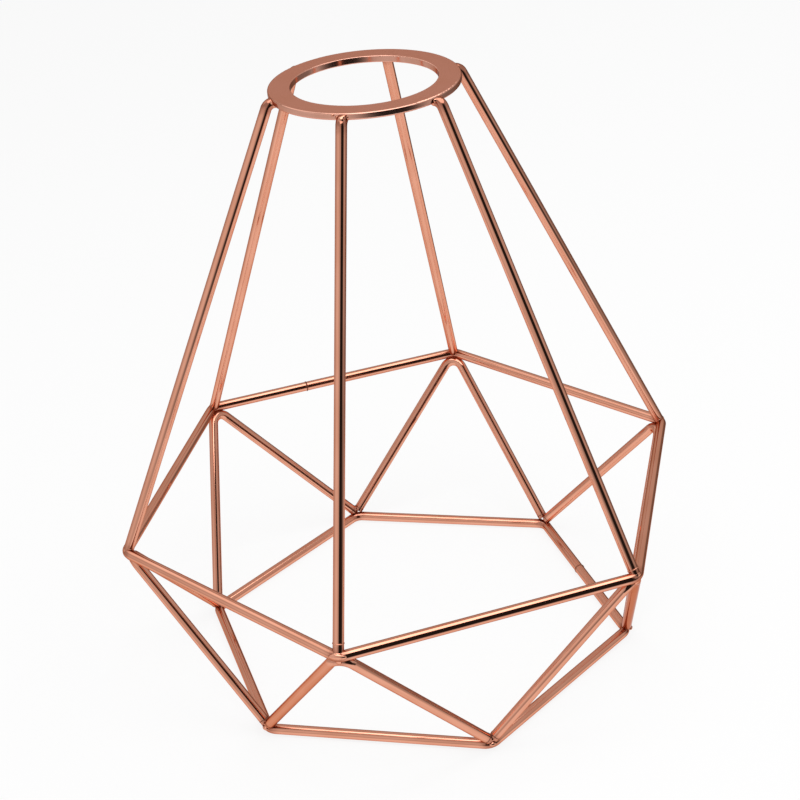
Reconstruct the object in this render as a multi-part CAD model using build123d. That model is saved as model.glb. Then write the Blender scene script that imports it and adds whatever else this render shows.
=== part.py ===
from build123d import *
import math
import os

# Open wire lampshade of welded round rod: a flat lampholder ring, six ribs down to a
# six-sided girdle hoop, and six bent struts from the girdle down to a smaller lower hoop
# that is turned by half a side. Millimetres and degrees. The lower hoop's underside is
# at Z = 0, the axis of the shade is Z, and one corner of the girdle points to -Y.

# Driving dimensions
SIDES = 6
FRONT_AZIMUTH = -90.0
ROD_DIAMETER = 3.2
RING_OUTER_DIAMETER = 55.0
RING_HOLE_DIAMETER = 42.0
RING_THICKNESS = 2.0
RING_RIM_ROUND = 0.5
RING_HOLE_ROUND = 0.3
GIRDLE_CORNER_RADIUS = 90.0
LOWER_CORNER_RADIUS = 69.4
HOOP_SPACING = 52.7
RING_RISE = 134.0

# Bends, each as the radius of the rod's centreline
HOOP_BEND_RADIUS = 4.0
STRUT_BEND_RADIUS = 3.5
RIB_BEND_RADIUS = 2.4

# Weld seats
STRUT_SET_DOWN = 0.3
RIB_FOOT_STOP = 0.9
RIB_KNEE_OUT = 0.9
RIB_KNEE_DROP = 0.15
RIB_TAIL_LAP = 0.3
STRUT_FOOT_LIFT = 1.4
STRUT_FOOT_STOP = 1.2
STRUT_FOOT_GAP = 0.4

# Worked out from the driving dimensions
rod_radius = ROD_DIAMETER / 2
side_angle = 360.0 / SIDES
half_side_angle = side_angle / 2
ring_outer_radius = RING_OUTER_DIAMETER / 2
ring_hole_radius = RING_HOLE_DIAMETER / 2
lower_level = rod_radius
girdle_level = lower_level + HOOP_SPACING
ring_top = girdle_level + RING_RISE


def corner_azimuth(index):
    """Azimuth of a girdle corner, counted counter-clockwise from the front one."""
    return FRONT_AZIMUTH + side_angle * index


def at_azimuth(radius, azimuth, level):
    """Point at a radius and an azimuth about the shade's axis, at a level."""
    turn = math.radians(azimuth)
    return Vector(radius * math.cos(turn), radius * math.sin(turn), level)


def bend_relief(bend_radius, turn):
    """How far a bend's middle lies inside the sharp corner that it rounds off."""
    return bend_radius * (1 / math.cos(math.radians(turn) / 2) - 1)


def bent_rod(corners, bend_radius, closed=False):
    """Round rod along straight runs, with the same bend at each corner between them."""
    path = FilletPolyline(*corners, radius=bend_radius, close=closed)
    section = Plane(origin=path @ 0, z_dir=path % 0) * Circle(rod_radius)
    return sweep(section, path=path)


def make_hoop(corner_radius, first_azimuth, level):
    """Closed six-sided hoop, bent from one rod."""
    corners = [at_azimuth(corner_radius, first_azimuth + side_angle * i, level) for i in range(SIDES)]
    return bent_rod(corners, HOOP_BEND_RADIUS, closed=True)


def make_ring():
    """Flat ring that the lampholder is clamped in, with rounded rim and hole edges."""
    width = ring_outer_radius - ring_hole_radius
    centre = Pos(ring_hole_radius + width / 2, ring_top - RING_THICKNESS / 2)
    profile = centre * Rectangle(width, RING_THICKNESS)
    profile = fillet(profile.vertices().sort_by(Axis.X)[-2:], RING_RIM_ROUND)
    profile = fillet(profile.vertices().sort_by(Axis.X)[:2], RING_HOLE_ROUND)
    return revolve(Plane.XZ * profile, axis=Axis.Z)


def girdle_seat():
    """Middle of the girdle's bend at azimuth 0, where a rib and a strut meet it."""
    relief = bend_relief(HOOP_BEND_RADIUS, side_angle)
    return Vector(GIRDLE_CORNER_RADIUS - relief, 0, girdle_level)


def make_rib(ring, girdle):
    """Rib at azimuth 0: straight from the girdle's bend, then bent in to the ring's rim.

    Its foot is cut square and sits saddled on the girdle. Its tail is cut to the curve of the
    rim and laps only the rim's rounded lower edge, so the ring's flat underside stays free.
    """
    knee_level = ring_top - RIB_KNEE_DROP - rod_radius
    knee = Vector(ring_outer_radius + RIB_KNEE_OUT, 0, knee_level)
    tail = Vector(ring_hole_radius, 0, knee_level)
    seat = girdle_seat()
    foot = seat + (knee - seat).normalized() * RIB_FOOT_STOP
    tail_trim = Pos(0, 0, knee_level) * Cylinder(ring_outer_radius - RIB_TAIL_LAP, 2 * ROD_DIAMETER)
    return bent_rod([foot, knee, tail], RIB_BEND_RADIUS) - girdle - ring - tail_trim


def strut_apex(seat, foot_middle, half_spread):
    """Sharp corner of a strut whose bend rests on the girdle, set down by the weld."""
    reach = (foot_middle - seat).length - (ROD_DIAMETER - STRUT_SET_DOWN)
    ratio = STRUT_BEND_RADIUS / half_spread
    inner = reach - STRUT_BEND_RADIUS
    flat = 1 - ratio ** 2
    height = (inner + math.sqrt(inner ** 2 - flat * (inner ** 2 - STRUT_BEND_RADIUS ** 2))) / flat
    return foot_middle + (seat - foot_middle).normalized() * height


def foot_sector():
    """Wedge between the two corner planes beside azimuth 0, held back by half a foot gap."""
    length = 2 * GIRDLE_CORNER_RADIUS
    half_width = length * math.tan(math.radians(half_side_angle))
    tip = STRUT_FOOT_GAP / 2 / math.sin(math.radians(half_side_angle))
    outline = Polyline((tip, 0), (tip + length, -half_width), (tip + length, half_width), close=True)
    return extrude(make_face(outline), amount=girdle_level + ROD_DIAMETER)


def make_strut(girdle, lower_hoop):
    """Strut at azimuth 0: one rod bent at the girdle, with a leg to each lower corner beside it."""
    foot_level = lower_level + STRUT_FOOT_LIFT
    left = at_azimuth(LOWER_CORNER_RADIUS, -half_side_angle, foot_level)
    right = at_azimuth(LOWER_CORNER_RADIUS, half_side_angle, foot_level)
    apex = strut_apex(girdle_seat(), (left + right) / 2, (right - left).length / 2)
    left_end = left + (apex - left).normalized() * STRUT_FOOT_STOP
    right_end = right + (apex - right).normalized() * STRUT_FOOT_STOP
    rod = bent_rod([left_end, apex, right_end], STRUT_BEND_RADIUS)
    return (rod & foot_sector()) - girdle - lower_hoop


def write_part(name, shape):
    """Write one piece to parts/NAME.step."""
    export_step(shape, f"parts/{name}.step")


def main():
    os.makedirs("parts", exist_ok=True)
    ring = make_ring()
    # Both hoops in the frame of the piece at azimuth 0: the girdle has a corner there and
    # the lower hoop has a side there.
    girdle = make_hoop(GIRDLE_CORNER_RADIUS, 0, girdle_level)
    lower_hoop = make_hoop(LOWER_CORNER_RADIUS, half_side_angle, lower_level)
    rib = make_rib(ring, girdle)
    strut = make_strut(girdle, lower_hoop)
    to_front = Rot(0, 0, FRONT_AZIMUTH)
    write_part("mounting_ring", ring)
    write_part("girdle_hoop", to_front * girdle)
    write_part("lower_hoop", to_front * lower_hoop)
    for index in range(SIDES):
        turned = Rot(0, 0, corner_azimuth(index))
        write_part(f"rib_{index + 1}", turned * rib)
        write_part(f"strut_{index + 1}", turned * strut)


main()
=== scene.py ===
import logging
import math
from dataclasses import dataclass, field
from enum import Enum

import bmesh
import bpy
from mathutils import Matrix, Vector


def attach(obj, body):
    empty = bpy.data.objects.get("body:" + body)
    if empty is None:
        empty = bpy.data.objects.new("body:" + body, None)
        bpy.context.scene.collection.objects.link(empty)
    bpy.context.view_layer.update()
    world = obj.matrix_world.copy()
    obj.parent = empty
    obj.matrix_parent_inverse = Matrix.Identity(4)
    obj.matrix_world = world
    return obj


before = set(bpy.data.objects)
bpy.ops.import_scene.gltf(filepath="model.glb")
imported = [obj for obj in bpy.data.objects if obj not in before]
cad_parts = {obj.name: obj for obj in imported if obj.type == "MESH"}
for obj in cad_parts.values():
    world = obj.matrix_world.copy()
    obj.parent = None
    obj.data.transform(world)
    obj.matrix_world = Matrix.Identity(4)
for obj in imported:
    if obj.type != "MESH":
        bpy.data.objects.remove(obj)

LOG = logging.getLogger("wire_lampshade")
BODY = "root"
WHITE = (1.0, 1.0, 1.0, 1.0)


@dataclass(frozen=True)
class ShadeSizes:
    """Sizes of the shade that its welds and finishes line up with, in metres and degrees."""

    sides: int = 6
    front_azimuth: float = -90.0
    rod_radius: float = 0.0016
    girdle_corner_radius: float = 0.0900
    lower_corner_radius: float = 0.0694
    hoop_bend_radius: float = 0.0040
    strut_bend_radius: float = 0.0035
    rib_bend_radius: float = 0.0024
    girdle_level: float = 0.0543
    lower_level: float = 0.0016
    ring_outer_radius: float = 0.0275
    ring_top: float = 0.1883
    ring_thickness: float = 0.0020
    rib_knee_out: float = 0.0009
    rib_knee_drop: float = 0.00015
    strut_set_down: float = 0.0003
    strut_foot_lift: float = 0.0014

    @property
    def half_side(self) -> float:
        """Half of a side's angle about the axis, in radians."""
        return math.pi / self.sides

    @property
    def girdle_seat(self) -> Vector:
        """Middle of the girdle's bend at azimuth 0, where a rib and a strut meet it."""
        relief = self.hoop_bend_radius * (1 / math.cos(self.half_side) - 1)
        return Vector((self.girdle_corner_radius - relief, 0.0, self.girdle_level))

    @property
    def rib_knee(self) -> Vector:
        """Sharp corner of the rib at azimuth 0, just outside the ring's rim."""
        level = self.ring_top - self.rib_knee_drop - self.rod_radius
        return Vector((self.ring_outer_radius + self.rib_knee_out, 0.0, level))

    @property
    def strut_foot(self) -> Vector:
        """Foot of the strut at azimuth 0 on the lower corner to its left."""
        level = self.lower_level + self.strut_foot_lift
        radius = self.lower_corner_radius
        return Vector((radius * math.cos(self.half_side), radius * math.sin(self.half_side), level))

    @property
    def strut_apex(self) -> Vector:
        """Sharp corner of the strut at azimuth 0, whose bend rests under the girdle."""
        foot = self.strut_foot
        middle = Vector((foot.x, 0.0, foot.z))
        rise = self.girdle_seat - middle
        inner = rise.length - 2 * self.rod_radius + self.strut_set_down - self.strut_bend_radius
        flat = 1 - (self.strut_bend_radius / foot.y) ** 2
        root = math.sqrt(inner ** 2 - flat * (inner ** 2 - self.strut_bend_radius ** 2))
        return middle + rise.normalized() * ((inner + root) / flat)

    def corner_turn(self, index: int) -> Matrix:
        """Turn about the axis from azimuth 0 to a girdle corner."""
        return Matrix.Rotation(math.radians(self.front_azimuth) + 2 * self.half_side * index, 4, "Z")


@dataclass(frozen=True)
class CameraStand:
    """The camera's place: where it aims, and how it is turned and leaned about that point."""

    aim: tuple[float, float, float] = (0.0013, 0.0003, 0.0848)
    azimuth: float = 14.48
    elevation: float = 28.81
    distance: float = 0.5402
    roll: float = -5.55
    lens: float = 78.44
    sensor: float = 36.0
    clip: tuple[float, float] = (0.01, 50.0)

    def build(self) -> bpy.types.Object:
        """Make the camera.

        Returns:
            The camera object, set as the scene's own.
        """
        turn, lean, roll = (math.radians(a) for a in (self.azimuth, self.elevation, self.roll))
        back = Vector((math.sin(turn) * math.cos(lean), -math.cos(turn) * math.cos(lean), math.sin(lean)))
        level_right = Vector((math.cos(turn), math.sin(turn), 0.0))
        level_up = back.cross(level_right)
        right = level_right * math.cos(roll) + level_up * math.sin(roll)
        up = level_up * math.cos(roll) - level_right * math.sin(roll)
        data = bpy.data.cameras.new("camera")
        data.lens = self.lens
        data.sensor_width = self.sensor
        data.clip_start, data.clip_end = self.clip
        camera = bpy.data.objects.new("camera", data)
        place = Matrix((right, up, back)).transposed().to_4x4()
        place.translation = Vector(self.aim) + back * self.distance
        camera.matrix_world = place
        bpy.context.scene.collection.objects.link(camera)
        bpy.context.scene.camera = camera
        return camera


class NodeSheet:
    """A node tree with short methods to add nodes to it and wire them."""

    def __init__(self, tree: bpy.types.NodeTree) -> None:
        """Keep the tree that the nodes go into."""
        self.tree = tree

    def add(self, kind: str, settings: dict[str, object] | None = None, **inputs: object) -> bpy.types.Node:
        """Add a node.

        Args:
            kind: The node's type name.
            settings: Attributes of the node, such as its operation.
            inputs: Values or source sockets by input name, with underscores for spaces, or
                in0, in1 and so on by place.

        Returns:
            The new node.
        """
        node = self.tree.nodes.new(kind)
        for name, value in (settings or {}).items():
            setattr(node, name, value)
        self.feed(node, **inputs)
        return node

    def feed(self, node: bpy.types.Node, **inputs: object) -> None:
        """Set a node's inputs.

        Args:
            node: The node.
            inputs: Values or source sockets, named as for add.
        """
        for name, value in inputs.items():
            key = int(name[2:]) if name[:2] == "in" and name[2:].isdigit() else name.replace("_", " ")
            if isinstance(value, bpy.types.NodeSocket):
                self.tree.links.new(value, node.inputs[key])
            else:
                node.inputs[key].default_value = value

    def math(self, operation: str, *values: object) -> bpy.types.NodeSocket:
        """Add a Math node with its values or sockets in order, and return its output."""
        places = {f"in{i}": value for i, value in enumerate(values)}
        return self.add("ShaderNodeMath", {"operation": operation}, **places).outputs[0]

    def vector_math(self, operation: str, *values: object) -> bpy.types.Node:
        """Add a Vector Math node with its values or sockets in order."""
        places = {f"in{i}": value for i, value in enumerate(values)}
        return self.add("ShaderNodeVectorMath", {"operation": operation}, **places)

    def blend(self, factor: object, first: object, second: object) -> bpy.types.NodeSocket:
        """Add a colour Mix node from the first colour to the second, and return its output."""
        node = self.add("ShaderNodeMix", {"data_type": "RGBA"}, in0=factor, in6=first, in7=second)
        return node.outputs[2]

    def span(
        self, value: object, low: float, high: float, to_low: float, to_high: float
    ) -> bpy.types.NodeSocket:
        """Add a smooth Map Range from low and high to new ends, and return its output."""
        smooth = {"interpolation_type": "SMOOTHSTEP", "clamp": True}
        node = self.add("ShaderNodeMapRange", smooth, in0=value, in1=low, in2=high, in3=to_low, in4=to_high)
        return node.outputs[0]


def new_group(
    name: str, inputs: dict[str, str], outputs: dict[str, str]
) -> tuple[NodeSheet, bpy.types.Node, bpy.types.Node]:
    """Start a shader node group.

    Args:
        name: The group's name.
        inputs: Socket types by input name.
        outputs: Socket types by output name.

    Returns:
        The group's sheet, its input node and its output node.
    """
    tree = bpy.data.node_groups.new(name, "ShaderNodeTree")
    for label, kind in inputs.items():
        tree.interface.new_socket(label, in_out="INPUT", socket_type=kind)
    for label, kind in outputs.items():
        tree.interface.new_socket(label, in_out="OUTPUT", socket_type=kind)
    sheet = NodeSheet(tree)
    return sheet, sheet.add("NodeGroupInput"), sheet.add("NodeGroupOutput")


@dataclass
class SharedEffects:
    """Node groups that the finishes share, each built once."""

    sizes: ShadeSizes
    drift_scale: float = 9.0
    drift_shift: float = 14.0
    wave_squeeze: tuple[float, float, float] = (0.10, 0.10, 1.6)
    ragged_scale: float = 700.0
    ragged_share: float = 0.5
    # Share of the reach round a weld where the painted shade on a rod is full.
    shade_core: float = 0.25
    cloud_scale: float = 85.0
    depth_range: tuple[float, float] = (0.75, 1.3)
    # How far painted shade near welds, and soot on weld metal, take the tone toward the dark colour.
    shade_and_soot_share: float = 0.75
    deep_wear: float = 0.35
    trees: dict[str, bpy.types.NodeTree] = field(default_factory=dict)

    def build(self) -> None:
        """Build every group."""
        self.build_sector()
        self.build_drawn_wire()
        self.build_weld_shade()
        self.build_tone()

    def build_sector(self) -> None:
        """Fold the shade's six like sectors onto the one at azimuth 0, mirrored about its middle."""
        vector = "NodeSocketVector"
        number = "NodeSocketFloat"
        sheet, start, end = new_group("sector_fold", {"Place": vector}, {"Folded": vector, "Drift": number})
        place = sheet.add("ShaderNodeSeparateXYZ", in0=start.outputs["Place"])
        turn = sheet.math("ARCTAN2", place.outputs[1], place.outputs[0])
        turn = sheet.math("SUBTRACT", turn, math.radians(self.sizes.front_azimuth))
        turn = sheet.math("WRAP", turn, self.sizes.half_side, -self.sizes.half_side)
        flat = sheet.vector_math("MULTIPLY", start.outputs["Place"], (1.0, 1.0, 0.0))
        reach = sheet.vector_math("LENGTH", flat.outputs[0]).outputs[1]
        radial = sheet.math("MULTIPLY", reach, sheet.math("COSINE", turn))
        aside = sheet.math("ABSOLUTE", sheet.math("MULTIPLY", reach, sheet.math("SINE", turn)))
        folded = sheet.add("ShaderNodeCombineXYZ", in0=radial, in1=aside, in2=place.outputs[2])
        scale = self.drift_scale
        drift = sheet.add("ShaderNodeTexNoise", Vector=start.outputs["Place"], Scale=scale, Detail=1.0)
        sheet.feed(end, Folded=folded.outputs[0], Drift=drift.outputs[0])
        self.trees["sector"] = sheet.tree

    def build_drawn_wire(self) -> None:
        """Long drawing lines and slow waves on a rod whose length runs along Z."""
        number = "NodeSocketFloat"
        sheet, start, end = new_group(
            "drawn_wire",
            {"Place": "NodeSocketVector", "Drift": number},
            {"Lines": number, "Waves": number},
        )
        moved = sheet.math("MULTIPLY", start.outputs["Drift"], self.drift_shift)
        fine = {"noise_dimensions": "4D"}
        along = start.outputs["Place"]
        lines = sheet.add("ShaderNodeTexNoise", fine, Vector=along, W=moved, Scale=1.0, Detail=1.0)
        slow = sheet.vector_math("MULTIPLY", along, self.wave_squeeze)
        waves = sheet.add("ShaderNodeTexNoise", fine, Vector=slow.outputs[0], W=moved, Scale=1.0, Detail=0.0)
        sheet.feed(end, Lines=lines.outputs[0], Waves=waves.outputs[0])
        self.trees["drawn"] = sheet.tree

    def build_weld_shade(self) -> None:
        """How near a place is to a weld, broken up at the edge: the mask of the painted shade that darkens
        the rods where they meet.
        """
        number = "NodeSocketFloat"
        vector = "NodeSocketVector"
        sheet, start, end = new_group(
            "painted_weld_shade",
            {"Folded": vector, "Place": vector, "Centre": vector, "Reach": number},
            {"Heat": number},
        )
        gap = sheet.vector_math("DISTANCE", start.outputs["Folded"], start.outputs["Centre"]).outputs[1]
        ratio = sheet.math("DIVIDE", gap, start.outputs["Reach"])
        scale = self.ragged_scale
        share = self.ragged_share
        ragged = sheet.add("ShaderNodeTexNoise", Vector=start.outputs["Place"], Scale=scale, Detail=3.0)
        ratio = sheet.math("ADD", ratio, sheet.math("MULTIPLY_ADD", ragged.outputs[0], share, -share / 2))
        sheet.feed(end, Heat=sheet.span(ratio, self.shade_core, 1.0, 1.0, 0.0))
        self.trees["heat"] = sheet.tree

    def build_tone(self) -> None:
        """Colour and roughness of plating from its lines, clouds of thickness and darkening: painted shade
        near welds on the rods, random soot on weld metal.
        """
        number = "NodeSocketFloat"
        colour = "NodeSocketColor"
        sheet, start, end = new_group(
            "plating_tone",
            {
                "Place": "NodeSocketVector",
                "Bright": colour,
                "Deep": colour,
                "Burnt": colour,
                "Lines": number,
                "Heat": number,
                "Smooth": number,
                "Worn": number,
            },
            {"Color": colour, "Roughness": number},
        )
        scale = self.cloud_scale
        cloud = sheet.add("ShaderNodeTexNoise", Vector=start.outputs["Place"], Scale=scale, Detail=1.0)
        depth = sheet.math("ADD", cloud.outputs[0], start.outputs["Lines"])
        depth = sheet.span(depth, *self.depth_range, 0.0, 1.0)
        tone = sheet.blend(depth, start.outputs["Bright"], start.outputs["Deep"])
        # Painted shade near welds on the rods, and soot on weld metal, pull the tone toward the dark colour
        # and roughen it.
        burnt = sheet.math("MULTIPLY", start.outputs["Heat"], self.shade_and_soot_share)
        tone = sheet.blend(burnt, tone, start.outputs["Burnt"])
        rough = sheet.math("MAXIMUM", start.outputs["Heat"], sheet.math("MULTIPLY", depth, self.deep_wear))
        spread = sheet.math("SUBTRACT", start.outputs["Worn"], start.outputs["Smooth"])
        rough = sheet.math("MULTIPLY_ADD", rough, spread, start.outputs["Smooth"])
        sheet.feed(end, Color=tone, Roughness=rough)
        self.trees["tone"] = sheet.tree

    def place(self, sheet: NodeSheet, name: str, **inputs: object) -> bpy.types.Node:
        """Put one of the groups into a material.

        Args:
            sheet: The material's sheet.
            name: The group's short name.
            inputs: Values or sockets by input name.

        Returns:
            The group's node.
        """
        return sheet.add("ShaderNodeGroup", {"node_tree": self.trees[name]}, **inputs)


@dataclass(frozen=True)
class PlatingColours:
    """Linear colours of the rose-gold plating."""

    bright: tuple[float, float, float, float] = (0.80, 0.375, 0.255, 1.0)
    deep: tuple[float, float, float, float] = (0.74, 0.33, 0.215, 1.0)
    # Dark colour for the painted shade near the rods' welds, and for soot on weld metal.
    burnt: tuple[float, float, float, float] = (0.360, 0.130, 0.085, 1.0)
    grazing: tuple[float, float, float, float] = (0.62, 0.36, 0.29, 1.0)


def start_material(name: str) -> tuple[bpy.types.Material, NodeSheet]:
    """Start a material with an empty sheet of nodes."""
    material = bpy.data.materials.new(name)
    material.use_nodes = True
    material.node_tree.nodes.clear()
    return material, NodeSheet(material.node_tree)


def start_metal(
    name: str, grazing: tuple[float, float, float, float]
) -> tuple[bpy.types.Material, NodeSheet, bpy.types.Node]:
    """Start a metal's material.

    Args:
        name: The material's name.
        grazing: The tint of the reflection at a grazing angle.

    Returns:
        The material, its sheet and its shader node.
    """
    material, sheet = start_material(name)
    shader = sheet.add("ShaderNodeBsdfPrincipled", Metallic=1.0, Specular_Tint=grazing)
    sheet.add("ShaderNodeOutputMaterial", Surface=shader.outputs[0])
    return material, sheet, shader


@dataclass(frozen=True)
class RodFinish:
    """Polished plating on a drawn rod whose run in the folded sector is known."""

    name: str
    on_run: Vector
    run: Vector
    welds: tuple[Vector, ...]
    colours: PlatingColours = PlatingColours()
    line_width: float = 0.0004
    line_length: float = 0.030
    # How far the painted shade reaches round each weld.
    shade_reach: float = 0.0045
    smooth: float = 0.045
    worn: float = 0.16
    wave_height: float = 0.000004

    def build(self, effects: SharedEffects) -> bpy.types.Material:
        """Build the material.

        Args:
            effects: The shared node groups.

        Returns:
            The material.
        """
        material, sheet, shader = start_metal(self.name, self.colours.grazing)
        place = sheet.add("ShaderNodeTexCoord").outputs["Object"]
        sector = effects.place(sheet, "sector", Place=place)
        along = Vector((0.0, 0.0, 1.0)).rotation_difference(self.run).to_euler()
        rod = sheet.add(
            "ShaderNodeMapping",
            {"vector_type": "TEXTURE"},
            Vector=sector.outputs["Folded"],
            Location=self.on_run,
            Rotation=along,
            Scale=(self.line_width, self.line_width, self.line_length),
        )
        drawn = effects.place(sheet, "drawn", Place=rod.outputs[0], Drift=sector.outputs["Drift"])
        # Painted shade: the rod darkens toward the dark colour near each weld, where the rods meet.
        heat = 0.0
        folded = sector.outputs["Folded"]
        for weld in self.welds:
            reach = self.shade_reach
            near = effects.place(sheet, "heat", Folded=folded, Place=place, Centre=weld, Reach=reach)
            heat = sheet.math("MAXIMUM", heat, near.outputs["Heat"])
        tone = effects.place(
            sheet,
            "tone",
            Place=place,
            Bright=self.colours.bright,
            Deep=self.colours.deep,
            Burnt=self.colours.burnt,
            Lines=drawn.outputs["Lines"],
            Heat=heat,
            Smooth=self.smooth,
            Worn=self.worn,
        )
        bump = sheet.add("ShaderNodeBump", Height=drawn.outputs["Waves"], Distance=self.wave_height)
        sheet.feed(shader, Base_Color=tone.outputs["Color"], Roughness=tone.outputs["Roughness"])
        sheet.feed(shader, Normal=bump.outputs[0])
        return material


@dataclass(frozen=True)
class RingFinish:
    """Satin plating on the punched ring, brushed round its axis, with polished edges."""

    name: str = "satin_ring"
    bright: tuple[float, float, float, float] = (0.80, 0.415, 0.315, 1.0)
    deep: tuple[float, float, float, float] = (0.74, 0.37, 0.27, 1.0)
    colours: PlatingColours = PlatingColours()
    smooth: float = 0.32
    worn: float = 0.46
    edge_smooth: float = 0.13
    edge_depth: float = 0.00008
    line_scale: float = 3400.0
    turn_scale: float = 9.0
    pit_scale: float = 2600.0
    grain_height: float = 0.000009

    def build(self, effects: SharedEffects) -> bpy.types.Material:
        """Build the material.

        Args:
            effects: The shared node groups.

        Returns:
            The material.
        """
        material, sheet, shader = start_metal(self.name, self.colours.grazing)
        place = sheet.add("ShaderNodeTexCoord").outputs["Object"]
        flat = sheet.vector_math("MULTIPLY", place, (1.0, 1.0, 0.0))
        reach = sheet.vector_math("LENGTH", flat.outputs[0]).outputs[1]
        parts = sheet.add("ShaderNodeSeparateXYZ", in0=place)
        turn = sheet.math("ARCTAN2", parts.outputs[1], parts.outputs[0])
        grain = sheet.add(
            "ShaderNodeCombineXYZ",
            in0=sheet.math("MULTIPLY", reach, self.line_scale),
            in1=sheet.math("MULTIPLY", sheet.math("SINE", turn), self.turn_scale),
            in2=sheet.math("MULTIPLY", sheet.math("COSINE", turn), self.turn_scale),
        )
        round_axis = grain.outputs[0]
        brushed = sheet.add("ShaderNodeTexNoise", Vector=round_axis, Scale=1.0, Detail=3.0, Roughness=0.65)
        pits = sheet.add("ShaderNodeTexNoise", Vector=place, Scale=self.pit_scale, Detail=2.0)
        tone = effects.place(
            sheet,
            "tone",
            Place=place,
            Bright=self.bright,
            Deep=self.deep,
            Burnt=self.colours.burnt,
            Lines=brushed.outputs[0],
            Heat=0.0,
            Smooth=self.smooth,
            Worn=self.worn,
        )
        top = effects.sizes.ring_top
        edge = sheet.span(parts.outputs[2], top - self.edge_depth, top, 1.0, 0.0)
        rough = tone.outputs["Roughness"]
        polish = sheet.math("SUBTRACT", self.edge_smooth, rough)
        rough = sheet.math("MULTIPLY_ADD", edge, polish, rough)
        height = sheet.math("ADD", brushed.outputs[0], pits.outputs[0])
        height = sheet.math("MULTIPLY", height, sheet.math("SUBTRACT", 1.0, edge))
        bump = sheet.add("ShaderNodeBump", Height=height, Distance=self.grain_height)
        sheet.feed(shader, Base_Color=tone.outputs["Color"], Roughness=rough, Normal=bump.outputs[0])
        return material


@dataclass(frozen=True)
class WeldFinish:
    """Plated weld metal: brighter and lumpier than the rod beside it."""

    name: str = "plated_weld"
    colours: PlatingColours = PlatingColours()
    smooth: float = 0.10
    worn: float = 0.30
    lump_scale: float = 900.0
    lump_height: float = 0.00005
    soot_scale: float = 420.0
    soot_range: tuple[float, float] = (0.55, 0.72)
    soot_level: float = 0.8

    def build(self, effects: SharedEffects) -> bpy.types.Material:
        """Build the material.

        Args:
            effects: The shared node groups.

        Returns:
            The material.
        """
        material, sheet, shader = start_metal(self.name, self.colours.grazing)
        place = sheet.add("ShaderNodeTexCoord").outputs["Object"]
        lumps = sheet.add("ShaderNodeTexNoise", Vector=place, Scale=self.lump_scale, Detail=3.0)
        scale = self.soot_scale
        soot = sheet.add("ShaderNodeTexNoise", Vector=place, Scale=scale, Detail=4.0, Roughness=0.7)
        tone = effects.place(
            sheet,
            "tone",
            Place=place,
            Bright=self.colours.bright,
            Deep=self.colours.deep,
            Burnt=self.colours.burnt,
            Lines=lumps.outputs[0],
            Heat=sheet.span(soot.outputs[0], *self.soot_range, 0.0, self.soot_level),
            Smooth=self.smooth,
            Worn=self.worn,
        )
        bump = sheet.add("ShaderNodeBump", Height=lumps.outputs[0], Distance=self.lump_height)
        sheet.feed(shader, Base_Color=tone.outputs["Color"], Roughness=tone.outputs["Roughness"])
        sheet.feed(shader, Normal=bump.outputs[0])
        return material


def link_mesh(name: str, mesh: bpy.types.Mesh) -> bpy.types.Object:
    """Put a mesh into the scene as an object at the origin."""
    made = bpy.data.objects.new(name, mesh)
    bpy.context.scene.collection.objects.link(made)
    return made


def finish_bmesh(name: str, work: bmesh.types.BMesh) -> bpy.types.Object:
    """Turn a bmesh into a smooth object with its normals outward.

    Args:
        name: The object's name.
        work: The bmesh, which is freed.

    Returns:
        The object.
    """
    bmesh.ops.recalc_face_normals(work, faces=work.faces[:])
    for face in work.faces:
        face.smooth = True
    mesh = bpy.data.meshes.new(name)
    work.to_mesh(mesh)
    work.free()
    return link_mesh(name, mesh)


def dress_weld(weld: bpy.types.Object, material: bpy.types.Material) -> bpy.types.Object:
    """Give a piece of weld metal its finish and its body.

    Args:
        weld: The piece.
        material: Its finish.

    Returns:
        The piece.
    """
    weld.data.materials.append(material)
    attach(weld, BODY)
    LOG.info("%s built with %d faces", weld.name, len(weld.data.polygons))
    return weld


@dataclass(frozen=True)
class TentPatch:
    """A soft-edged oval on the tent's cloth, by azimuth and elevation in degrees."""

    azimuth: float
    elevation: float
    half_width: float
    half_height: float
    level: float
    core: float = 0.75
    rim: float = 1.10

    def mask(self, sheet: NodeSheet, way: bpy.types.NodeSocket) -> bpy.types.NodeSocket:
        """Wire the oval's mask.

        Args:
            sheet: The sheet of the tent's material.
            way: The direction from the object to the cloth, as a unit vector.

        Returns:
            One inside the oval and nought outside.
        """
        upright = {"rotation_type": "Z_AXIS"}
        turned = sheet.add("ShaderNodeVectorRotate", upright, Vector=way, Angle=-math.radians(self.azimuth))
        local = sheet.add("ShaderNodeSeparateXYZ", in0=turned.outputs[0])
        across = sheet.math("ARCTAN2", local.outputs[1], local.outputs[0])
        across = sheet.math("DIVIDE", across, math.radians(self.half_width))
        height = sheet.math("SUBTRACT", sheet.math("ARCSINE", local.outputs[2]), math.radians(self.elevation))
        height = sheet.math("DIVIDE", height, math.radians(self.half_height))
        square = sheet.math("ADD", sheet.math("POWER", across, 2.0), sheet.math("POWER", height, 2.0))
        return sheet.span(sheet.math("SQRT", square), self.core, self.rim, 1.0, 0.0)


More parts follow.
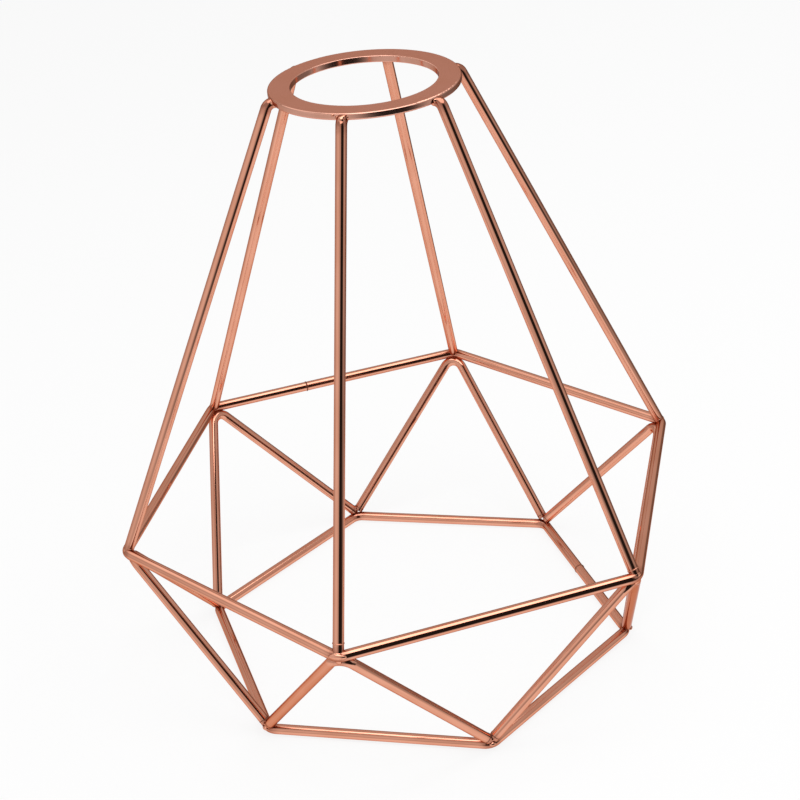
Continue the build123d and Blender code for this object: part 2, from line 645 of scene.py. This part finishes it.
@dataclass(frozen=True)
class RodStub:
    """End of a rod at a joint: a straight run, or two runs with a bend between them."""

    points: tuple[Vector, ...]
    radius: float
    bend_radius: float = 0.0
    segments: int = 24
    bend_steps: int = 10

    def add_to(self, work: bmesh.types.BMesh) -> None:
        """Sweep the stub into a bmesh as a closed rod.

        Args:
            work: The bmesh that the stub is added to.
        """
        start = self.points[0]
        way = (self.points[1] - start).normalized()
        place = Matrix.Translation(start) @ way.to_track_quat("Z", "Y").to_matrix().to_4x4()
        made = bmesh.ops.create_circle(
            work, cap_ends=True, segments=self.segments, radius=self.radius, matrix=place
        )
        cap = made["verts"][0].link_faces[0]
        if len(self.points) == 2:
            self.push(work, cap, self.points[1] - start)
            return
        corner, end = self.points[1], self.points[2]
        onward = (end - corner).normalized()
        angle = way.angle(onward)
        relief = self.bend_radius * math.tan(angle / 2)
        axis = way.cross(onward).normalized()
        bend_start = corner - way * relief
        bend_end = corner + onward * relief
        centre = bend_start + axis.cross(way) * self.bend_radius
        cap = self.push(work, cap, bend_start - start)
        geometry = [cap] + cap.edges[:] + cap.verts[:]
        steps = self.bend_steps
        spun = bmesh.ops.spin(work, geom=geometry, cent=centre, axis=axis, angle=angle, steps=steps)
        cap = next(g for g in spun["geom_last"] if isinstance(g, bmesh.types.BMFace))
        self.push(work, cap, end - bend_end)

    def push(self, work: bmesh.types.BMesh, cap: bmesh.types.BMFace, way: Vector) -> bmesh.types.BMFace:
        """Extrude a cap along a way.

        Args:
            work: The bmesh that holds the cap.
            cap: The face that is extruded.
            way: How far and where to.

        Returns:
            The cap at the new end.
        """
        grown = bmesh.ops.extrude_face_region(work, geom=[cap])["geom"]
        bmesh.ops.translate(work, verts=[g for g in grown if isinstance(g, bmesh.types.BMVert)], vec=way)
        return next(g for g in grown if isinstance(g, bmesh.types.BMFace))


@dataclass(frozen=True)
class WeldLump:
    """A lump of weld metal: an ellipsoid by its centre, its half sizes and its lean outward."""

    centre: Vector
    half_sizes: tuple[float, float, float]
    lean: float = 0.0

    def add_to(self, work: bmesh.types.BMesh) -> None:
        """Add the lump to a bmesh."""
        size = Matrix.Diagonal((*self.half_sizes, 1.0))
        place = Matrix.Translation(self.centre) @ Matrix.Rotation(math.radians(self.lean), 4, "Y") @ size
        bmesh.ops.create_icosphere(work, subdivisions=3, radius=1.0, matrix=place)


class WeldKind(Enum):
    """Where a weld sits on the shade, with its name and how often its skin is smoothed."""

    RIM = ("rim_weld", 10)
    GIRDLE = ("girdle_weld", 7)
    FOOT = ("foot_weld", 6)


@dataclass
class WeldedJoint:
    """Weld metal that fills the hollows where rods meet, with its lumps.

    The rods' ends are run together a little thinner than the rods, so that only what fills the
    hollows between them stands out of the real rods.
    """

    name: str
    stubs: tuple[RodStub, ...]
    lumps: tuple[WeldLump, ...]
    turn: Matrix
    flow: int
    grain: float = 0.00014

    def build(self, material: bpy.types.Material) -> bpy.types.Object:
        """Make the weld as one closed skin and dress it.

        Args:
            material: The weld's finish.

        Returns:
            The weld's object.
        """
        work = bmesh.new()
        for part in (*self.stubs, *self.lumps):
            part.add_to(work)
        bmesh.ops.transform(work, matrix=self.turn, verts=work.verts)
        rough = finish_bmesh(self.name + "_rough", work)
        skin = rough.modifiers.new("skin", "REMESH")
        skin.mode = "VOXEL"
        skin.voxel_size = self.grain
        graph = bpy.context.evaluated_depsgraph_get()
        mesh = bpy.data.meshes.new_from_object(rough.evaluated_get(graph))
        bpy.data.objects.remove(rough)
        work = bmesh.new()
        work.from_mesh(mesh)
        bpy.data.meshes.remove(mesh)
        for _ in range(self.flow):
            bmesh.ops.smooth_vert(
                work, verts=work.verts, factor=0.5, use_axis_x=True, use_axis_y=True, use_axis_z=True
            )
        return dress_weld(finish_bmesh(self.name, work), material)


@dataclass(frozen=True)
class RodCollar:
    """A thin bead of metal that runs round a rod."""

    centre: Vector
    axis: Vector
    major: float
    minor: float
    segments: int = 14
    steps: int = 56

    def add_to(self, work: bmesh.types.BMesh) -> None:
        """Spin the bead round the rod into a bmesh.

        Args:
            work: The bmesh that the bead is added to.
        """
        turn = self.axis.to_track_quat("Z", "Y").to_matrix().to_4x4()
        section = Matrix.Translation((self.major, 0.0, 0.0)) @ Matrix.Rotation(math.pi / 2, 4, "X")
        place = Matrix.Translation(self.centre) @ turn @ section
        made = bmesh.ops.create_circle(
            work, cap_ends=False, segments=self.segments, radius=self.minor, matrix=place
        )
        edges = dict.fromkeys(edge for vert in made["verts"] for edge in vert.link_edges)
        outline = made["verts"] + list(edges)
        bmesh.ops.spin(
            work,
            geom=outline,
            cent=self.centre,
            axis=self.axis,
            angle=2 * math.pi,
            steps=self.steps,
            use_merge=True,
        )


@dataclass
class BeadRow:
    """Thin beads and specks of weld metal that make one piece, ground flush below."""

    name: str
    parts: tuple[RodCollar | WeldLump, ...]
    turn: Matrix = field(default_factory=lambda: Matrix.Identity(4))
    lowest: float = 0.0

    def build(self, material: bpy.types.Material) -> bpy.types.Object:
        """Make the beads and dress them.

        Args:
            material: The beads' finish.

        Returns:
            The beads' object.
        """
        work = bmesh.new()
        for part in self.parts:
            part.add_to(work)
        bmesh.ops.transform(work, matrix=self.turn, verts=work.verts)
        for vert in work.verts:
            vert.co.z = max(vert.co.z, self.lowest)
        return dress_weld(finish_bmesh(self.name, work), material)


@dataclass
class ShadeWelds:
    """Every weld of the shade, built at azimuth 0 from the rods' sizes and turned to its corner."""

    sizes: ShadeSizes
    skin_in: float = 0.00007
    reach: float = 0.0055
    crown_in: float = 0.00005
    nugget_out: float = 0.0012
    leg_start: float = 0.0018
    leg_extra: float = 0.0010
    tail_in: float = 0.0018
    rim_in: float = 0.0002
    rim_bead_aside: float = 0.0013
    rim_bead_drop: float = 0.0001
    rim_bead_sizes: tuple[float, float, float] = (0.00055, 0.0007, 0.0006)
    collar_bead: float = 0.00019
    collar_in: float = 0.00004
    shade_line_height: float = 0.0023
    shade_line_bead: float = 0.00018
    scorch_in: float = 0.00012
    butt_bead: float = 0.00026
    butt_in: float = 0.00010

    def run(self, start: Vector, toward: Vector, length: float) -> Vector:
        """The point a length from one point toward another."""
        return start + (toward - start).normalized() * length

    def bent(self, corner: Vector, ends: tuple[Vector, Vector], bend_radius: float) -> RodStub:
        """A stub with a bend at a corner and runs toward two far ends."""
        points = (self.run(corner, ends[0], self.reach), corner, self.run(corner, ends[1], self.reach))
        return RodStub(points, self.sizes.rod_radius - self.skin_in, bend_radius)

    def girdle_parts(self) -> tuple[tuple[RodStub, ...], tuple[WeldLump, ...]]:
        """Stubs and lumps where a rib stands on the girdle, and the nugget that holds the strut's crown."""
        sizes = self.sizes
        corner = Vector((sizes.girdle_corner_radius, 0.0, sizes.girdle_level))
        spin = Matrix.Rotation(2 * sizes.half_side, 3, "Z")
        girdle = self.bent(corner, (spin.inverted() @ corner, spin @ corner), sizes.hoop_bend_radius)
        seat = sizes.girdle_seat
        rib = RodStub((seat, self.run(seat, sizes.rib_knee, self.reach)), sizes.rod_radius - self.skin_in)
        foot = sizes.strut_foot
        down = (Vector((foot.x, 0.0, foot.z)) - seat).normalized()
        outward = Vector((-down.z, 0.0, down.x))
        crown = seat + down * (sizes.rod_radius - self.crown_in)
        bead = WeldLump(seat + Vector((0.0007, 0.0, 0.0009)), (0.0007, 0.0013, 0.0008), 20.0)
        nugget = WeldLump(crown + outward * self.nugget_out, (0.00055, 0.00085, 0.00125), 28.0)
        return (girdle, rib), (bead, nugget)

    def girdle_lens(self) -> tuple[WeldLump, ...]:
        """The flat bead that the front corner shows on the girdle's outer side."""
        place = self.sizes.girdle_seat + Vector((0.00105, 0.0, 0.00045))
        return (WeldLump(place, (0.0008, 0.0026, 0.0011), 20.0),)

    def foot_parts(self) -> tuple[tuple[RodStub, ...], tuple[WeldLump, ...]]:
        """Stubs and lumps where two strut legs meet a lower corner, which is turned to azimuth 0."""
        sizes = self.sizes
        corner = Vector((sizes.lower_corner_radius, 0.0, sizes.lower_level))
        spin = Matrix.Rotation(2 * sizes.half_side, 3, "Z")
        hoop = self.bent(corner, (spin.inverted() @ corner, spin @ corner), sizes.hoop_bend_radius)
        foot = corner + Vector((0.0, 0.0, sizes.strut_foot_lift))
        half = Matrix.Rotation(sizes.half_side, 3, "Z")
        thin = sizes.rod_radius - self.skin_in
        leg_end = self.reach + self.leg_extra
        legs = tuple(
            RodStub((self.run(foot, top, self.leg_start), self.run(foot, top, leg_end)), thin)
            for top in (half @ sizes.strut_apex, half.inverted() @ sizes.strut_apex)
        )
        pad = WeldLump(foot + Vector((0.0006, 0.0, 0.0012)), (0.0010, 0.0015, 0.0007), 38.0)
        drip = WeldLump(foot + Vector((0.0014, 0.0, -0.0004)), (0.0006, 0.0011, 0.0007))
        return (hoop, *legs), (pad, drip)

    def rim_parts(self) -> tuple[tuple[RodStub, ...], tuple[WeldLump, ...]]:
        """Stubs and lumps where a rib's bent end meets the ring's rim."""
        sizes = self.sizes
        knee = sizes.rib_knee
        tail = Vector((sizes.ring_outer_radius - self.tail_in, 0.0, knee.z))
        rib = RodStub(
            (self.run(knee, sizes.girdle_seat, self.reach), knee, tail),
            sizes.rod_radius - self.skin_in,
            sizes.rib_bend_radius,
        )
        level = sizes.ring_top - sizes.ring_thickness / 2 - self.rim_bead_drop
        rim = sizes.ring_outer_radius - self.rim_in
        beads = tuple(
            WeldLump(Vector((rim, aside, level)), self.rim_bead_sizes)
            for aside in (-self.rim_bead_aside, self.rim_bead_aside)
        )
        return (rib,), beads

    def spatter(self) -> tuple[WeldLump, ...]:
        """Lumps of the roughest rim weld, the one on the front rib."""
        sizes = self.sizes
        out = sizes.ring_outer_radius
        top = sizes.ring_top
        return (
            WeldLump(Vector((out + 0.0014, 0.0001, top - 0.0015)), (0.0008, 0.0011, 0.0013), -20.0),
            WeldLump(Vector((out + 0.0020, -0.0004, top - 0.0029)), (0.0006, 0.0008, 0.0008)),
            WeldLump(Vector((out + 0.0007, 0.0007, top - 0.0006)), (0.0008, 0.0007, 0.0006)),
            WeldLump(Vector((out + 0.0001, -0.0025, top - 0.0004)), (0.00045, 0.0005, 0.00045)),
        )

    def build(self, material: bpy.types.Material, painted_shade_finish: bpy.types.Material) -> None:
        """Build every weld, the rib collars and the hoops' butt welds.

        Args:
            material: The welds' finish.
            painted_shade_finish: The dark finish of the hoops' butt welds and of the lines at the feet:
                painted shade in the welds' notches and round the legs' ends.
        """
        sizes = self.sizes
        for kind, (stubs, lumps), at_front, ahead in (
            (WeldKind.RIM, self.rim_parts(), self.spatter(), 0.0),
            (WeldKind.GIRDLE, self.girdle_parts(), self.girdle_lens(), 0.0),
            (WeldKind.FOOT, self.foot_parts(), (), sizes.half_side),
        ):
            label, flow = kind.value
            for index in range(sizes.sides):
                turn = sizes.corner_turn(index) @ Matrix.Rotation(ahead, 4, "Z")
                extra = at_front if index == 0 else ()
                WeldedJoint(f"{label}_{index + 1}", stubs, lumps + extra, turn, flow).build(material)
        for row in self.rib_collars():
            row.build(material)
        # Painted shade: the butt-weld beads and the lines at the feet take the dark finish, for the shade in
        # the welds' notches and round the legs' ends.
        for row in (*self.butt_welds(), *self.foot_shade_lines()):
            row.build(painted_shade_finish)

    def rib_collars(self) -> tuple[BeadRow, ...]:
        """Thin beads round the feet of the two ribs that show them."""
        sizes = self.sizes
        seat = sizes.girdle_seat
        along = (sizes.rib_knee - seat).normalized()
        collars = []
        for index, height, askew in ((0, 0.0036, 4.0), (1, 0.0023, -10.0)):
            axis = Matrix.Rotation(math.radians(askew), 3, "Y") @ along
            major = sizes.rod_radius - self.collar_in
            collar = RodCollar(seat + along * height, axis, major, self.collar_bead)
            collars.append(BeadRow(f"rib_collar_{index + 1}", (collar,), sizes.corner_turn(index)))
        return tuple(collars)

    def foot_shade_lines(self) -> tuple[BeadRow, ...]:
        """Dark lines round the ends of the legs, and specks beside them, at each lower corner: painted shade
        where the legs meet the weld.
        """
        sizes = self.sizes
        foot = Vector((sizes.lower_corner_radius, 0.0, sizes.lower_level + sizes.strut_foot_lift))
        half = Matrix.Rotation(sizes.half_side, 3, "Z")
        major = sizes.rod_radius - self.scorch_in
        marks = []
        for top in (half @ sizes.strut_apex, half.inverted() @ sizes.strut_apex):
            along = (top - foot).normalized()
            marks.append(RodCollar(foot + along * self.shade_line_height, along, major, self.shade_line_bead))
        for place, size in (
            (Vector((0.0006, 0.0, 0.0023)), 0.00038),
            (Vector((0.0001, 0.0017, -0.0003)), 0.00032),
            (Vector((0.0004, -0.0018, -0.0009)), 0.00034),
        ):
            marks.append(WeldLump(foot + place, (size, size, size)))
        ahead = Matrix.Rotation(sizes.half_side, 4, "Z")
        return tuple(
            BeadRow(f"foot_shade_lines_{index + 1}", tuple(marks), sizes.corner_turn(index) @ ahead)
            for index in range(sizes.sides)
        )

    def butt_welds(self) -> tuple[BeadRow, ...]:
        """The bead where each hoop's rod is closed on itself, on the side that shows it."""
        sizes = self.sizes
        beads = []
        for name, radius, level, first, share in (
            ("girdle_butt_weld", sizes.girdle_corner_radius, sizes.girdle_level, 3.0, 0.62),
            ("lower_butt_weld", sizes.lower_corner_radius, sizes.lower_level, 1.5, 0.55),
        ):
            start, end = (
                Matrix.Rotation(math.radians(sizes.front_azimuth) + 2 * sizes.half_side * at, 3, "Z")
                @ Vector((radius, 0.0, level))
                for at in (first, first + 1.0)
            )
            along = (end - start).normalized()
            bead = RodCollar(start.lerp(end, share), along, sizes.rod_radius - self.butt_in, self.butt_bead)
            beads.append(BeadRow(name, (bead,)))
        return tuple(beads)


@dataclass
class Studio:
    """Pale floor, a light tent that is open to the dark room at the front right, and one soft box."""

    floor_radius: float = 4.0
    floor_tone: float = 0.80
    floor_mottle: float = 0.02
    mottle_scale: float = 3.0
    backdrop_share: float = 0.85
    tent_radius: float = 1.30
    tent_level: float = 0.60
    ground_level: float = 1.0
    ground_rise: tuple[float, float] = (-0.45, -0.08)
    left_cloth: TentPatch = TentPatch(-130.0, 15.0, 45.0, 25.0, 0.85, 0.4)
    right_cloth: TentPatch = TentPatch(65.0, -5.0, 60.0, 20.0, 0.25)
    mouth: TentPatch = TentPatch(-50.0, 30.0, 30.0, 50.0, 0.02)
    mouth_foot: TentPatch = TentPatch(-45.0, -5.0, 55.0, 20.0, 0.02, 0.4)
    back_cloth: TentPatch = TentPatch(165.0, 55.0, 40.0, 25.0, 1.2, 0.4)
    box_place: tuple[float, float, float] = (0.35, -0.12, 1.05)
    box_turn: float = -55.0
    box_size: tuple[float, float] = (0.9, 1.5)
    box_radiance: float = 2.4
    weave_scale: float = 40.0
    weave_depth: float = 0.2
    lamp_radiance: float = 2.4
    room_level: float = 0.6

    def build(self) -> None:
        """Build the floor, the tent, the soft box and the room around them."""
        self.build_floor()
        self.build_tent()
        self.build_box()
        self.build_room()

    def build_floor(self) -> None:
        """A pale floor that a camera sees near white, with the object's own shadow on it."""
        work = bmesh.new()
        bmesh.ops.create_circle(work, cap_ends=True, segments=96, radius=self.floor_radius)
        floor = finish_bmesh("floor", work)
        floor.visible_glossy = False
        material, sheet = start_material("pale_floor")
        tone = self.floor_tone
        place = sheet.add("ShaderNodeTexCoord").outputs["Object"]
        mottle = sheet.add("ShaderNodeTexNoise", Vector=place, Scale=self.mottle_scale, Detail=2.0)
        pale = tone + self.floor_mottle
        colour = sheet.blend(mottle.outputs[0], (tone, tone, tone, 1.0), (pale, pale, pale, 1.0))
        matt = sheet.add("ShaderNodeBsdfDiffuse", Color=colour)
        glow = sheet.add("ShaderNodeEmission", Color=WHITE, Strength=1.0)
        seen = sheet.math("MULTIPLY", self.seen_as_backdrop(sheet), self.backdrop_share)
        both = sheet.add("ShaderNodeMixShader", in0=seen, in1=matt.outputs[0], in2=glow.outputs[0])
        sheet.add("ShaderNodeOutputMaterial", Surface=both.outputs[0])
        floor.data.materials.append(material)

    def seen_as_backdrop(self, sheet: NodeSheet) -> bpy.types.NodeSocket:
        """One where a camera, glossy or transmission ray looks, nought elsewhere."""
        path = sheet.add("ShaderNodeLightPath")
        seen = sheet.math("MAXIMUM", path.outputs["Is Camera Ray"], path.outputs["Is Glossy Ray"])
        return sheet.math("MAXIMUM", seen, path.outputs["Is Transmission Ray"])

    def build_tent(self) -> None:
        """A globe of white cloth that no camera sees: bright below, dimmer above, with a dark mouth."""
        work = bmesh.new()
        bmesh.ops.create_uvsphere(work, u_segments=96, v_segments=48, radius=self.tent_radius)
        material, sheet = start_material("tent_cloth")
        place = sheet.add("ShaderNodeTexCoord").outputs["Object"]
        way = sheet.vector_math("NORMALIZE", place).outputs[0]
        rise = sheet.add("ShaderNodeSeparateXYZ", in0=way).outputs[2]
        level = sheet.span(rise, *self.ground_rise, self.ground_level, self.tent_level)
        for patch in (self.left_cloth, self.right_cloth, self.mouth, self.mouth_foot, self.back_cloth):
            inside = patch.mask(sheet, way)
            level = sheet.math("MULTIPLY_ADD", inside, sheet.math("SUBTRACT", patch.level, level), level)
        glow = sheet.add("ShaderNodeEmission", Color=WHITE, Strength=level)
        sheet.add("ShaderNodeOutputMaterial", Surface=glow.outputs[0])
        self.stage_mirrored(finish_bmesh("light_tent", work), material)

    def stage_mirrored(self, cloth: bpy.types.Object, material: bpy.types.Material) -> None:
        """Stage a lit cloth that only mirror rays meet.

        Args:
            cloth: The cloth's object.
            material: Its material.
        """
        cloth.visible_camera = False
        cloth.visible_diffuse = False
        cloth.visible_shadow = False
        cloth.data.materials.append(material)

    def build_box(self) -> None:
        """The overhead soft box: a bright sheet that the plating mirrors, and its lamp for the floor."""
        place = Matrix.Translation(self.box_place) @ Matrix.Rotation(math.radians(self.box_turn), 4, "Z")
        work = bmesh.new()
        bmesh.ops.create_grid(work, x_segments=1, y_segments=1, size=0.5)
        bmesh.ops.scale(work, vec=(*self.box_size, 1.0), verts=work.verts)
        bmesh.ops.transform(work, matrix=place, verts=work.verts)
        material, sheet = start_material("soft_box_cloth")
        cloth = sheet.add("ShaderNodeTexCoord").outputs["Object"]
        weave = sheet.add("ShaderNodeTexNoise", Vector=cloth, Scale=self.weave_scale)
        level = sheet.math("MULTIPLY_ADD", weave.outputs[0], self.weave_depth, self.box_radiance)
        glow = sheet.add("ShaderNodeEmission", Color=WHITE, Strength=level)
        sheet.add("ShaderNodeOutputMaterial", Surface=glow.outputs[0])
        self.stage_mirrored(finish_bmesh("soft_box_sheet", work), material)
        data = bpy.data.lights.new("soft_box", "AREA")
        data.shape = "RECTANGLE"
        data.size, data.size_y = self.box_size
        data.energy = self.lamp_radiance * math.pi * self.box_size[0] * self.box_size[1]
        lamp = bpy.data.objects.new("soft_box", data)
        lamp.matrix_world = place
        lamp.visible_camera = False
        lamp.visible_glossy = False
        bpy.context.scene.collection.objects.link(lamp)

    def build_room(self) -> None:
        """The room past the tent: white to the camera, and a plain level of light."""
        world = bpy.data.worlds.new("room")
        bpy.context.scene.world = world
        world.use_nodes = True
        world.node_tree.nodes.clear()
        sheet = NodeSheet(world.node_tree)
        seen = self.seen_as_backdrop(sheet)
        strength = sheet.math("MULTIPLY_ADD", seen, 1.0 - self.room_level, self.room_level)
        back = sheet.add("ShaderNodeBackground", Color=WHITE, Strength=strength)
        sheet.add("ShaderNodeOutputWorld", Surface=back.outputs[0])


def dress_rods(sizes: ShadeSizes, effects: SharedEffects) -> None:
    """Give each rod of the frame its plated finish, lined up with its run.

    Args:
        sizes: The shade's sizes.
        effects: The shared node groups.
    """
    seat = sizes.girdle_seat
    knee = sizes.rib_knee
    apex = sizes.strut_apex
    foot = sizes.strut_foot
    corner = Vector((sizes.girdle_corner_radius, 0.0, sizes.girdle_level))
    to_next = Vector((-math.sin(sizes.half_side), math.cos(sizes.half_side), 0.0))
    lower_side = Vector((sizes.lower_corner_radius * math.cos(sizes.half_side), 0.0, sizes.lower_level))
    finishes = {
        "rib": RodFinish("plated_rib", knee, (seat - knee).normalized(), (seat, knee)),
        "strut": RodFinish("plated_strut", foot, (apex - foot).normalized(), (seat, foot)),
        "girdle": RodFinish("plated_girdle", corner, to_next, (seat,)),
        "lower": RodFinish("plated_lower_hoop", lower_side, Vector((0.0, 1.0, 0.0)), (foot,)),
    }
    materials = {family: finish.build(effects) for family, finish in finishes.items()}
    for name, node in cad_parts.items():
        family = name.split("_")[0]
        if family in materials:
            node.material_slots[0].material = materials[family]
            LOG.info("%s dressed with %s", name, materials[family].name)


def main() -> None:
    """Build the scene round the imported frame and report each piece."""
    logging.basicConfig(level=logging.INFO, format="%(name)s: %(message)s")
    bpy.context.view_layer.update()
    scene = bpy.context.scene
    scene.view_settings.view_transform = "Standard"
    sizes = ShadeSizes()
    CameraStand().build()
    Studio().build()
    effects = SharedEffects(sizes)
    effects.build()
    dress_rods(sizes, effects)
    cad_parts["mounting_ring"].material_slots[0].material = RingFinish().build(effects)
    # Painted shade: dark colours for the butt welds' notches and the lines round the legs' ends.
    burnt = PlatingColours(bright=(0.34, 0.14, 0.09, 1.0), deep=(0.10, 0.035, 0.022, 1.0))
    painted_shade_finish = WeldFinish("painted_shade_weld", burnt, smooth=0.22, worn=0.45).build(effects)
    ShadeWelds(sizes).build(WeldFinish().build(effects), painted_shade_finish)


if __name__ == "__main__":
    main()
